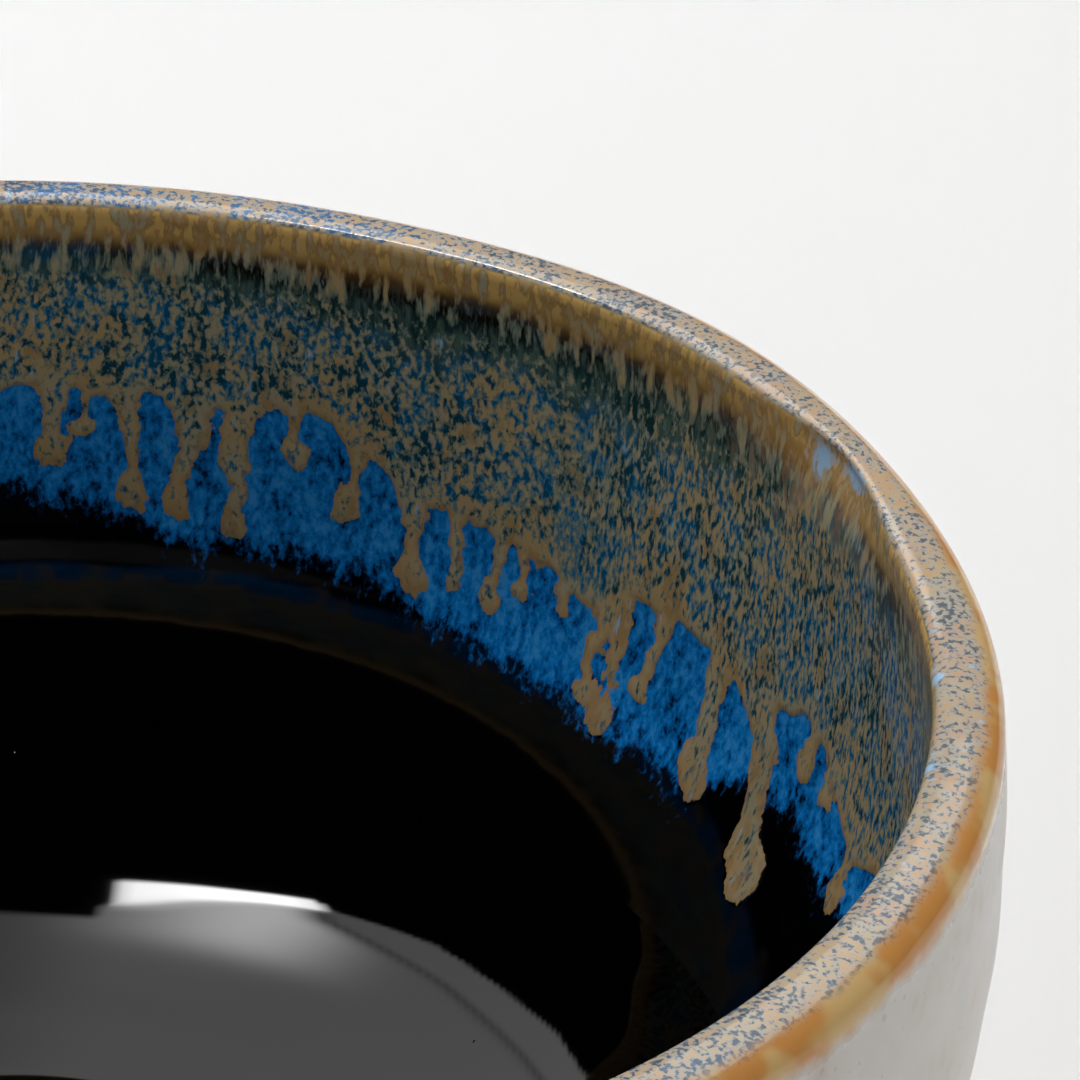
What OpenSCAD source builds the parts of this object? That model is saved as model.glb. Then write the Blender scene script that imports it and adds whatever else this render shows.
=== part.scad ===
// Wheel-thrown tea bowl with a small pinched pouring lip, a turned foot ring and layered glaze coats.
// The origin is the centre of the foot's resting plane, +Z is up, and all lengths are millimetres.
// Azimuths run from +Y towards +X.

/* [Bowl] */
// Height of the rim crest above the resting plane
bowl_h = 68; // [60:1:80]
// Largest inside radius of the wall
inner_r = 57.3; // [52:0.1:62]
// Largest outside radius of the wall
outer_r = 61.9; // [57:0.1:67]
// Depth of the widest part of the inside below the crest
inner_belly = 20; // [14:1:26]
// Depth of the widest part of the outside below the crest
outer_belly = 18; // [14:1:26]
// Inside depth from the crest to the middle of the floor
inner_depth = 56; // [46:1:58]
// Squareness of the inside curve, where 2 is an ellipse
inner_curve = 2.4; // [2:0.1:3]
// Squareness of the outside curve, where 2 is an ellipse
outer_curve = 1.9; // [1.7:0.1:2.4]
// How far the inside wall leans in at the rim
inner_lean = 1.8; // [0:0.1:3]
// How far the outside wall leans in at the rim
outer_lean = 1.9; // [0:0.1:3]

/* [Rim] */
// Radius of the rim crest
crest_r = 57.6; // [53:0.1:62]
// Height of the crest above the crisp inner edge
inner_round = 1.2; // [0.8:0.1:3]
// Height of the crest above the start of the outer wall
outer_round = 2.2; // [1.5:0.1:4]
// Squareness of the rim's inner half, where 2 is an ellipse
inner_edge_curve = 3.4; // [2:0.1:4]
// Squareness of the rim's outer half, where 2 is an ellipse
outer_edge_curve = 2.2; // [2:0.1:4]
// How far the rim is out of round
oval = 1.7; // [0:0.1:2.5]
// Azimuth of the rim's longest diameter
oval_at = 70.5; // [0:0.5:180]

/* [Pouring lip] */
// Azimuth of the pouring lip
lip_at = 42; // [0:1:90]
// Half-width of the lip in degrees
lip_width = 18; // [10:1:30]
// How far the lip is pushed out
lip_out = 1.9; // [0:0.1:4]
// How far the lip dips below the crest
lip_drop = 0.25; // [0:0.05:2]
// Depth over which the lip fades into the wall
lip_reach = 14; // [8:1:24]
// Azimuth where the inner edge is rolled over for pouring
fold_at = 61; // [30:1:90]
// Half-width of the rolled stretch in degrees
fold_width = 7; // [4:1:14]
// How far the inner edge is rolled outwards
fold_out = 1.6; // [0:0.1:2.2]
// Depth over which the rolled edge fades into the wall
fold_reach = 4; // [2:0.5:8]

/* [Foot] */
// Outer radius of the foot ring where it joins the body
foot_r = 30; // [26:0.5:34]
// Height of the foot ring
foot_h = 6; // [5:0.5:8]
// Width of the foot ring where it joins the body
foot_w = 6.5; // [5:0.5:8]
// Slope taken off each side of the foot ring
foot_taper = 1.3; // [0.5:0.1:1.8]
// Bevel on the foot ring's resting edges
foot_bevel = 0.8; // [0.3:0.1:1.5]

/* [Glaze coats] */
// Thickness of all the coats together
coat = 0.6; // [0.4:0.05:1]
// Thickness of the black liner coat
liner_t = 0.2; // [0.1:0.05:0.3]
// Thickness of the blue coat
blue_t = 0.15; // [0.1:0.05:0.25]
// Depth of the blue coat's lower edge
blue_depth = 40; // [36:1:42]
// Depth of the rim coat's lower edge, where the runs start
rim_coat_depth = 19; // [16:1:22]
// Radius of the glazed disc inside the foot ring
base_glaze_r = 21; // [15:0.5:22]
// Thickness of the glazed disc inside the foot ring
base_glaze_t = 0.3; // [0.1:0.05:0.6]

/* [Glaze runs] */
// How far the runs stand out from the rim coat
run_rise = 0.35; // [0.1:0.05:0.6]
// Width of a run at its neck
run_w = 2; // [1.5:0.1:3]
// Gap between a run and the coat behind it
run_gap = 0.07; // [0.05:0.01:0.15]
// Number of runs around the part of the wall away from the lip
far_runs = 44; // [20:1:60]

/* [Hidden] */

// Number of facets around the bowl
around = 72;
step = 360 / around;
foot_fn = 96;

// Runs near the lip as [azimuth in degrees, depth of the tip]
LIP_RUNS = [
    [-5, 23], [1, 26], [5, 28], [9, 29], [13, 22], [18, 25], [23, 30], [26, 28], [30, 30],
    [35, 27], [39, 35], [44, 31], [50, 35], [59, 38], [62, 27], [65, 27], [70, 31]
];
// Run outline as [share of its length, share of its width]: narrowing neck, round bulb, blunt tip
RUN_OUTLINE = [[0, 1.25], [0.25, 1.13], [0.5, 1.02], [0.75, 1.3], [0.88, 0.83], [1, 0.4]];
// A run's front is narrower than its back by this share
RUN_FRONT = 0.6;
// Gap between the rim coat's lower edge and a run's top, and the run's rise there
RUN_START = 0.1;
// Azimuths between which the other runs are spread
FAR_FROM = 75;
FAR_TO = 350;

// Colours that tell the coats apart
BLACK_GLOSS = [0.03, 0.03, 0.04];
DEEP_BLUE = [0.05, 0.32, 0.62];
TAN = [0.6, 0.5, 0.36];
OCHRE = [0.66, 0.5, 0.28];
PALE_GREY = [0.76, 0.75, 0.73];

// Stations along the envelope: floor and lower wall 0-1, upper wall 1-2, rim 2-3, outside 3-4, lower outside 4-5
FLOOR_STATIONS = [0.06, 0.14, 0.24, 0.34, 0.44, 0.54, 0.64, 0.74, 0.84, 0.92];
EDGE = 2;
OUTER_EDGE = 3.1;
// Station on the rim past which the rolled edge has no effect, and the stretch over which it dies out
FOLD_END = 2.7;
FOLD_FADE = 0.7;
GLAZE_END = 4.8;

// Depth of the blue coat's lower edge as a station of the lower wall
blue_from = 1 - asin(pow((blue_depth - inner_belly) / (inner_depth - inner_belly), inner_curve / 2)) / 90;
// Depth of the rim coat's lower edge as a station of the upper wall
rim_from = 1 + (inner_belly - rim_coat_depth) / (inner_belly - inner_round);

function bell(x, width) = exp(-pow(x / width, 2));
function clamp(x) = max(0, min(1, x));
function turn(a) = a > 180 ? turn(a - 360) : a < -180 ? turn(a + 360) : a;

// Inside wall radius and outside wall radius at a depth above the belly
function upper_inner(d) = inner_r - inner_lean * pow(1 - d / inner_belly, 2);
function upper_outer(d) = outer_r - outer_lean * pow(1 - d / outer_belly, 2);

// Quarter of a superellipse: t is 0 on the side and 90 at the end of its axis
function super_side(t, n) = pow(max(0, cos(t)), 2 / n);
function super_end(t, n) = pow(max(0, sin(t)), 2 / n);

function lower_inner(u) =
    let (t = 90 * (1 - u))
    [inner_r * super_side(t, inner_curve),
     inner_belly + (inner_depth - inner_belly) * super_end(t, inner_curve)];

function upper_wall(u, from, to, outside) =
    let (d = from + (to - from) * u)
    [outside ? upper_outer(d) : upper_inner(d), d];

function rim_cap(u) =
    let (inside = u < 0.5, t = 90 * (inside ? 2 * u : 2 - 2 * u))
    let (n = inside ? inner_edge_curve : outer_edge_curve, h = inside ? inner_round : outer_round)
    let (wall = inside ? upper_inner(inner_round) : upper_outer(outer_round))
    [crest_r + (wall - crest_r) * super_side(t, n), h * (1 - super_end(t, n))];

function lower_outer(u) =
    let (t = 90 * u, drop = bowl_h - foot_h - outer_belly)
    [foot_r + (outer_r - foot_r) * super_side(t, outer_curve),
     outer_belly + drop * super_end(t, outer_curve)];

// Finished outline as [radius, depth] at station u
function outline(u) =
    u <= 1 ? lower_inner(u)
    : u <= 2 ? upper_wall(u - 1, inner_belly, inner_round, false)
    : u <= 3 ? rim_cap(u - 2)
    : u <= 4 ? upper_wall(u - 3, outer_round, outer_belly, true)
    : lower_outer(u - 4);

// The same outline moved into the clay by a distance, measured square to the surface
function inset(u, off) =
    let (a = outline(max(0, u - 0.004)), b = outline(min(5, u + 0.004)), p = outline(u))
    let (v = u <= 0 ? [1, 0] : (b - a) / norm(b - a))
    [p[0] - off * v[1], p[1] + off * v[0]];

// Out-of-round, lip and rolled edge at an azimuth: how far a point moves out
function lip_share(depth, a) = bell(turn(a - lip_at), lip_width) * bell(depth, lip_reach);
function fold_share(depth, a) = bell(turn(a - fold_at), fold_width) * bell(depth, fold_reach);

function push(u, depth, a) =
    let (height = clamp((inner_depth - depth) / inner_depth))
    let (lip = lip_out * lip_share(depth, a))
    let (fold = fold_out * fold_share(depth, a) * clamp((FOLD_END - u) / FOLD_FADE))
    oval * cos(2 * (a - oval_at)) * sin(90 * height) + lip + fold;

function place(p, u, a) =
    let (r = p[0] + (p[0] > 0 ? push(u, p[1], a) : 0))
    [r * sin(a), r * cos(a), bowl_h - p[1] - lip_drop * lip_share(p[1], a)];

function ring(p, u) = [for (i = [0:around - 1]) place(p, u, i * step)];

// Two triangles for each facet between ring j and ring k
function strip(j, k) = [
    for (i = [0:around - 1])
    let (n = (i + 1) % around, a = j * around, b = k * around)
    each [[a + i, b + i, b + n], [a + i, b + n, a + n]]
];

// Solid swept round the bowl by a closed loop of [station, inset]
module coat_solid(loop) {
    points = [for (q = loop) each ring(inset(q[0], q[1]), q[0])];
    faces = [for (j = [0:len(loop) - 1]) each strip(j, (j + 1) % len(loop))];
    polyhedron(points, faces, convexity = 6);
}

// Solid swept by an open chain of [station, inset] whose two ends close on the axis
module core_solid(chain, first_depth, last_depth) {
    rings = [for (q = chain) each ring(inset(q[0], q[1]), q[0])];
    n = len(chain);
    first = n * around;
    last = first + 1;
    points = concat(rings, [[0, 0, bowl_h - first_depth], [0, 0, bowl_h - last_depth]]);
    faces = concat(
        [for (i = [0:around - 1]) [first, i, (i + 1) % around]],
        [for (j = [0:n - 2]) each strip(j, j + 1)],
        [for (i = [0:around - 1]) [last, (n - 1) * around + (i + 1) % around, (n - 1) * around + i]]
    );
    polyhedron(points, faces, convexity = 6);
}

function stations(list, off) = [for (u = list) [u, off]];
function backwards(list) = [for (i = [len(list) - 1:-1:0]) list[i]];

LOW_WALL = [for (u = FLOOR_STATIONS) if (u < blue_from - 0.03) u];
BLUE_WALL = concat([blue_from], [for (u = FLOOR_STATIONS) if (u > blue_from + 0.03) u], [1]);
HIGH_WALL = [rim_from, 1.3, 1.55, 1.8];
RIM = [2.1, 2.25, 2.5, 2.7, 2.85, 3];
OUTER_UPPER = [OUTER_EDGE, 3.4, 3.7, 4];
OUTER_LOWER = [4.12, 4.24, 4.36, 4.48, 4.59, 4.7, GLAZE_END];

module stoneware_body() {
    glazed = concat(LOW_WALL, BLUE_WALL, HIGH_WALL, [EDGE], RIM, OUTER_UPPER, OUTER_LOWER);
    color("tan")
    core_solid(concat(stations(glazed, coat), [[5, 0]]), inner_depth + coat, bowl_h - foot_h);
}

module foot_ring() {
    inner = foot_r - foot_w;
    color("peru")
    rotate_extrude($fn = foot_fn)
    polygon([
        [inner, foot_h],
        [inner + foot_taper * 0.7, foot_bevel],
        [inner + foot_taper, 0],
        [foot_r - foot_taper - foot_bevel, 0],
        [foot_r - foot_taper, foot_bevel],
        [foot_r, foot_h]
    ]);
}

module liner_glaze() {
    wall = concat(LOW_WALL, BLUE_WALL, HIGH_WALL, [EDGE]);
    front = stations(wall, coat - liner_t);
    back = backwards(stations(wall, coat));
    color(BLACK_GLOSS)
    core_solid(concat(front, back), inner_depth + coat - liner_t, inner_depth + coat);
}

module blue_glaze() {
    wall = concat(BLUE_WALL, HIGH_WALL, [EDGE]);
    color(DEEP_BLUE)
    coat_solid(concat(
        stations(wall, coat - liner_t - blue_t),
        backwards(stations(wall, coat - liner_t))
    ));
}

module rim_glaze() {
    wall = concat(HIGH_WALL, [EDGE]);
    over = concat(RIM, [OUTER_EDGE]);
    back_wall = stations(wall, coat - liner_t - blue_t);
    front = concat(stations([for (u = wall) if (u > rim_from) u], 0), stations(over, 0));
    color(TAN)
    coat_solid(concat(
        front,
        backwards(stations(over, coat)),
        [[EDGE, coat]],
        backwards(back_wall)
    ));
}

module outer_glaze() {
    wall = concat(OUTER_UPPER, OUTER_LOWER);
    color(PALE_GREY)
    coat_solid(concat(stations(wall, 0), backwards(stations(wall, coat))));
}

module base_glaze() {
    color(PALE_GREY)
    translate([0, 0, foot_h - base_glaze_t])
    cylinder(r = base_glaze_r, h = base_glaze_t, $fn = foot_fn);
}

// Station of the inside wall at a depth
function station_at(d) =
    d < inner_belly
    ? 1 + (inner_belly - d) / (inner_belly - inner_round)
    : 1 - asin(pow((d - inner_belly) / (inner_depth - inner_belly), inner_curve / 2)) / 90;

// Point of the inside wall at a depth and azimuth, shifted sideways in millimetres
function wall_point(d, off, a, side) =
    let (u = station_at(d))
    place(inset(u, off), u, a + side / inner_r * 180 / PI);

// One run: a tapering pad that lies on the blue coat with a hair's gap
module glaze_run(a, tip) {
    back = coat - liner_t - blue_t - run_gap;
    top = rim_coat_depth + RUN_START;
    sections = [
        for (q = RUN_OUTLINE)
        let (d = top + (tip - top) * q[0], w = run_w / 2 * q[1], rise = q[0] == 0 ? RUN_START : run_rise)
        each [
            wall_point(d, back, a, -w),
            wall_point(d, back, a, w),
            wall_point(d, -rise, a, w * RUN_FRONT),
            wall_point(d, -rise, a, -w * RUN_FRONT)
        ]
    ];
    n = len(RUN_OUTLINE);
    sides = [for (j = [0:n - 2]) for (k = [0:3])
        let (m = (k + 1) % 4)
        each [[4 * j + k, 4 * j + m, 4 * j + 4 + m], [4 * j + k, 4 * j + 4 + m, 4 * j + 4 + k]]];
    ends = [[0, 2, 1], [0, 3, 2], [4 * n - 4, 4 * n - 3, 4 * n - 2], [4 * n - 4, 4 * n - 2, 4 * n - 1]];
    polyhedron(sections, concat(sides, ends), convexity = 4);
}

function far_azimuth(i) = FAR_FROM + (FAR_TO - FAR_FROM) * (i + 0.5) / far_runs + 1.3 * sin(137 * i);
function far_tip(i) = 28 + 3.5 * sin(101 * i) + 3 * sin(233 * i + 40);

module glaze_runs() {
    color(OCHRE) {
        for (q = LIP_RUNS)
            glaze_run(q[0], q[1]);
        for (i = [0:far_runs - 1])
            glaze_run(far_azimuth(i), far_tip(i));
    }
}

stoneware_body();
foot_ring();
liner_glaze();
blue_glaze();
rim_glaze();
glaze_runs();
outer_glaze();
base_glaze();
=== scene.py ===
"""Dresses a glazed stoneware tea bowl: clay, foot ring and the glaze coats that lie on it, in a soft studio.

Lengths inside the classes are millimetres and meshes are written in metres. Azimuths run from +Y towards
+X, and depths run down from the rim's crest. A run coordinate is the distance along the surface from the
crisp inner edge of the rim: positive down the inside, negative over the rim and down the outside.
"""

import logging
import math
from dataclasses import dataclass
from enum import Enum
from typing import Any, Mapping, Optional, Sequence, Union

import bpy
import numpy as np
from mathutils import Matrix, Vector


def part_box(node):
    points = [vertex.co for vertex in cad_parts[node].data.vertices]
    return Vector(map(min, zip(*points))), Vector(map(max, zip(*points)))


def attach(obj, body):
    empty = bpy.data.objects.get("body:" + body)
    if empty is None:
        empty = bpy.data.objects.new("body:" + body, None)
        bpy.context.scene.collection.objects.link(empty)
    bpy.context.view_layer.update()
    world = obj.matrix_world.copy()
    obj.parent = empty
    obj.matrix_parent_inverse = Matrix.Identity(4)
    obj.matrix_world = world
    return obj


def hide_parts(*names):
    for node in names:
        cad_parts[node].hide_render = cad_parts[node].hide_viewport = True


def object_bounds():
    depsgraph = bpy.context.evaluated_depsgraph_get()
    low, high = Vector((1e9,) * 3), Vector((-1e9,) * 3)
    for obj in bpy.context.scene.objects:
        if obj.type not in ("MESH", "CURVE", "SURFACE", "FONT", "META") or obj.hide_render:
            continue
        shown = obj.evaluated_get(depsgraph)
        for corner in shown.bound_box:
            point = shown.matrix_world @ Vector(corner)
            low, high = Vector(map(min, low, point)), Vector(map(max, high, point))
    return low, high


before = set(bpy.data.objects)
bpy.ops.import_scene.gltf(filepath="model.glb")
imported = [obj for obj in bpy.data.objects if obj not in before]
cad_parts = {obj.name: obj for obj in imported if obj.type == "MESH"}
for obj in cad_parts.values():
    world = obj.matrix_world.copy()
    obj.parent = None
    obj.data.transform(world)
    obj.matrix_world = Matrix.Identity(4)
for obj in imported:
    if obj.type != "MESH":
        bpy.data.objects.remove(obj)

LOG = logging.getLogger("tea_bowl")
MM = 0.001
CAD_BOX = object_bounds()
TANGENT_STEP = 0.004
EDGE_STATION = 2.0
RIM_END_STATION = 3.1
GLAZE_END_STATION = 4.8
LAST_STATION = 5.0
Colour = tuple[float, float, float]
Array = np.ndarray


def bell(x: Array, width: float) -> Array:
    """Returns a Gaussian bump, 1 at x = 0 and 1/e at x = width."""
    return np.exp(-((x / width) ** 2))


def ease(x: Array, low: float, high: float) -> Array:
    """Returns 0 below low, 1 above high and a smooth S-curve between them."""
    t = np.clip((x - low) / (high - low), 0.0, 1.0)
    return t * t * (3.0 - 2.0 * t)


def wrap(degrees: Array) -> Array:
    """Returns an angle difference brought into -180 to 180 degrees."""
    return (degrees + 180.0) % 360.0 - 180.0


def blend_min(a: Array, b: Array, radius: float) -> Array:
    """Returns the smaller of a and b, rounded into each other where they differ by less than radius."""
    h = np.clip(0.5 + 0.5 * (b - a) / radius, 0.0, 1.0)
    return b + (a - b) * h - radius * h * (1.0 - h)


def window(x: Array, span: tuple[float, float], soft: float) -> Array:
    """Returns 1 inside a span and 0 outside it, with an S-curve of half-width soft at each end."""
    return ease(x, span[0] - soft, span[0] + soft) * ease(-x, -span[1] - soft, -span[1] + soft)


def turned(r: Array, azimuth: Array, z: Array) -> Array:
    """Returns the points at radius r, azimuth in degrees and height z, broadcast against one another."""
    a = np.radians(azimuth)
    return np.stack(np.broadcast_arrays(r * np.sin(a), r * np.cos(a), z), axis=-1)


def store(mesh: bpy.types.Mesh, name: str, values: Array) -> None:
    """Stores numbers, or vectors in rows of three, on a mesh's vertices.

    Args:
        mesh: The mesh.
        name: The name of the new attribute.
        values: One number, or one row of three, for each vertex.
    """
    is_vector = values.ndim == 2
    layer = mesh.attributes.new(name, "FLOAT_VECTOR" if is_vector else "FLOAT", "POINT")
    layer.data.foreach_set("vector" if is_vector else "value", values.astype(np.float32).ravel())


def put(name: str, data: bpy.types.ID) -> bpy.types.Object:
    """Returns a new object of the scene that shows a mesh, a lamp or a camera.

    Args:
        name: The object's name.
        data: The mesh, lamp or camera it shows.

    Returns:
        The object.
    """
    thing = bpy.data.objects.new(name, data)
    bpy.context.scene.collection.objects.link(thing)
    return thing


@dataclass(frozen=True)
class Grain:
    """Smooth random values on a lattice that closes on itself round the bowl."""

    cell: float
    seed: int
    around: float = 360.0
    rows: int = 128

    def at(self, x: Array, y: Array) -> Array:
        """Returns values from -1 to 1: random lattice values blended by the S-curve 3t^2 - 2t^3.

        Args:
            x: Distance round the bowl, which repeats after `around`.
            y: Distance down the wall.

        Returns:
            The values, of the shape of x and y.
        """
        columns, rows = max(3, round(self.around / self.cell)), self.rows
        table = np.random.default_rng(self.seed).uniform(-1.0, 1.0, (rows, columns))
        gx, gy = x / self.around * columns, y / self.cell
        ix, iy = np.floor(gx).astype(int), np.floor(gy).astype(int)
        tx, ty = gx - ix, gy - iy
        tx, ty = tx * tx * (3 - 2 * tx), ty * ty * (3 - 2 * ty)
        top = table[iy % rows, ix % columns] * (1 - tx) + table[iy % rows, (ix + 1) % columns] * tx
        low = table[(iy + 1) % rows, ix % columns] * (1 - tx) + table[(iy + 1) % rows, (ix + 1) % columns] * tx
        return top * (1 - ty) + low * ty


@dataclass(frozen=True)
class BowlShape:
    """The bowl's outline and its departures from a true round, as in the CAD model.

    The outline is a function of a station u: 0 to 1 is the floor and the lower wall, 1 to 2 the upper wall,
    2 to 3 the rim, 3 to 4 the upper outside and 4 to 5 the lower outside.
    """

    height: float
    foot_radius: float
    foot_height: float
    inner_radius: float = 57.3
    outer_radius: float = 61.9
    inner_belly: float = 20.0
    outer_belly: float = 18.0
    inner_depth: float = 56.0
    inner_curve: float = 2.4
    outer_curve: float = 1.9
    inner_lean: float = 1.8
    outer_lean: float = 1.9
    crest_radius: float = 57.6
    inner_round: float = 1.2
    outer_round: float = 2.2
    inner_edge_curve: float = 3.4
    outer_edge_curve: float = 2.2
    oval: float = 1.7
    oval_at: float = 70.5
    lip_at: float = 42.0
    lip_width: float = 18.0
    lip_out: float = 1.9
    lip_drop: float = 0.25
    lip_reach: float = 14.0
    fold_at: float = 61.0
    fold_width: float = 7.0
    fold_out: float = 1.6
    fold_reach: float = 4.0
    fold_end: float = 2.7
    fold_fade: float = 0.7

    @classmethod
    def from_frame(cls) -> "BowlShape":
        """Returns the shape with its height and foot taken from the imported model.

        Returns:
            The shape, in mm.
        """
        low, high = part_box("foot_ring")
        return cls(
            height=CAD_BOX[1][2] / MM,
            foot_radius=(high[0] - low[0]) / 2 / MM,
            foot_height=high[2] / MM,
        )

    def outline(self, u: Array) -> tuple[Array, Array]:
        """Returns radius and depth at stations u.

        The lower walls are quarters of superellipses |x|^n + |y|^n = 1, the upper walls are parabolas that
        lean in towards the rim, and the rim is two superellipse quarters that meet at the crest.

        Args:
            u: Stations, 0 to 5.

        Returns:
            Radius and depth, in mm.
        """
        u = np.asarray(u, dtype=float)
        t = np.radians(90.0 * np.clip(1.0 - u, 0.0, 1.0))
        r0 = self.inner_radius * np.cos(t) ** (2 / self.inner_curve)
        d0 = self.inner_belly + (self.inner_depth - self.inner_belly) * np.sin(t) ** (2 / self.inner_curve)
        d1 = self.inner_belly + (self.inner_round - self.inner_belly) * (u - 1.0)
        r1 = self.inner_radius - self.inner_lean * (1 - d1 / self.inner_belly) ** 2
        r2, d2 = self._rim(np.clip(u - 2.0, 0.0, 1.0))
        d3 = self.outer_round + (self.outer_belly - self.outer_round) * (u - 3.0)
        r3 = self.outer_radius - self.outer_lean * (1 - d3 / self.outer_belly) ** 2
        t = np.radians(90.0 * np.clip(u - 4.0, 0.0, 1.0))
        drop = self.height - self.foot_height - self.outer_belly
        r4 = self.foot_radius + (self.outer_radius - self.foot_radius) * np.cos(t) ** (2 / self.outer_curve)
        d4 = self.outer_belly + drop * np.sin(t) ** (2 / self.outer_curve)
        part = [u <= 1, u <= 2, u <= 3, u <= 4]
        return np.select(part, [r0, r1, r2, r3], r4), np.select(part, [d0, d1, d2, d3], d4)

    def _rim(self, u: Array) -> tuple[Array, Array]:
        """Returns radius and depth over the rim for u from 0 at the inner edge to 1 at the outer wall.

        Args:
            u: Place on the rim, 0 to 1.

        Returns:
            Radius and depth, in mm.
        """
        inside = u < 0.5
        t = np.radians(90.0 * np.where(inside, 2 * u, 2 - 2 * u))
        n = np.where(inside, self.inner_edge_curve, self.outer_edge_curve)
        rise = np.where(inside, self.inner_round, self.outer_round)
        inner_wall = self.inner_radius - self.inner_lean * (1 - self.inner_round / self.inner_belly) ** 2
        outer_wall = self.outer_radius - self.outer_lean * (1 - self.outer_round / self.outer_belly) ** 2
        wall = np.where(inside, inner_wall, outer_wall)
        across = np.clip(np.cos(t), 0, 1) ** (2 / n)
        along = np.clip(np.sin(t), 0, 1) ** (2 / n)
        return self.crest_radius + (wall - self.crest_radius) * across, rise * (1 - along)

    def run_table(self) -> tuple[Array, Array]:
        """Returns stations and their run coordinates, by summing the outline's chords from the inner edge.

        Returns:
            Two arrays of one length: stations, and the run coordinate at each.
        """
        u = np.linspace(0.0, LAST_STATION, 20001)
        r, d = self.outline(u)
        length = np.concatenate([[0.0], np.cumsum(np.hypot(np.diff(r), np.diff(d)))])
        return u, np.interp(EDGE_STATION, u, length) - length

    def station(self, run: Array) -> Array:
        """Returns the stations at run coordinates."""
        u, runs = self.run_table()
        return np.interp(-np.asarray(run), -runs, u)

    def run_at_station(self, u: float) -> float:
        """Returns the run coordinate at a station."""
        stations, runs = self.run_table()
        return float(np.interp(u, stations, runs))

    def run_at_depth(self, depth: float) -> float:
        """Returns the run coordinate on the inside wall at a depth.

        Args:
            depth: Depth in mm.

        Returns:
            The run coordinate, in mm.
        """
        stations, runs = self.run_table()
        inside = stations <= EDGE_STATION
        return float(np.interp(-depth, -self.outline(stations[inside])[1], runs[inside]))

    def place(self, u: Array, azimuth: Array, inset: Array) -> Array:
        """Returns points on the bowl: the outline moved square to itself, turned round and pushed out of round.

        Args:
            u: Stations, broadcast against azimuth.
            azimuth: Degrees.
            inset: Distance into the clay.

        Returns:
            Points in mm, with x, y and z along the last axis.
        """
        h = TANGENT_STEP
        ra, da = self.outline(np.maximum(u - h, 0.0))
        rb, db = self.outline(np.minimum(u + h, LAST_STATION))
        tangent_r, tangent_d = rb - ra, db - da
        size = np.hypot(tangent_r, tangent_d)
        r, d = self.outline(u)
        on_axis = u <= 0
        r = np.where(on_axis, 0.0, r - inset * tangent_d / size)
        d = np.where(on_axis, d + inset, d + inset * tangent_r / size)
        lip = bell(wrap(azimuth - self.lip_at), self.lip_width) * bell(d, self.lip_reach)
        fold = bell(wrap(azimuth - self.fold_at), self.fold_width) * bell(d, self.fold_reach)
        fold = fold * np.clip((self.fold_end - u) / self.fold_fade, 0.0, 1.0)
        up = np.clip((self.inner_depth - d) / self.inner_depth, 0.0, 1.0)
        swell = self.oval * np.cos(np.radians(2 * (azimuth - self.oval_at))) * np.sin(np.pi / 2 * up)
        r = r + np.where(r > 0, swell + self.lip_out * lip + self.fold_out * fold, 0.0)
        return turned(r, azimuth, self.height - d - self.lip_drop * lip)


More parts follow.
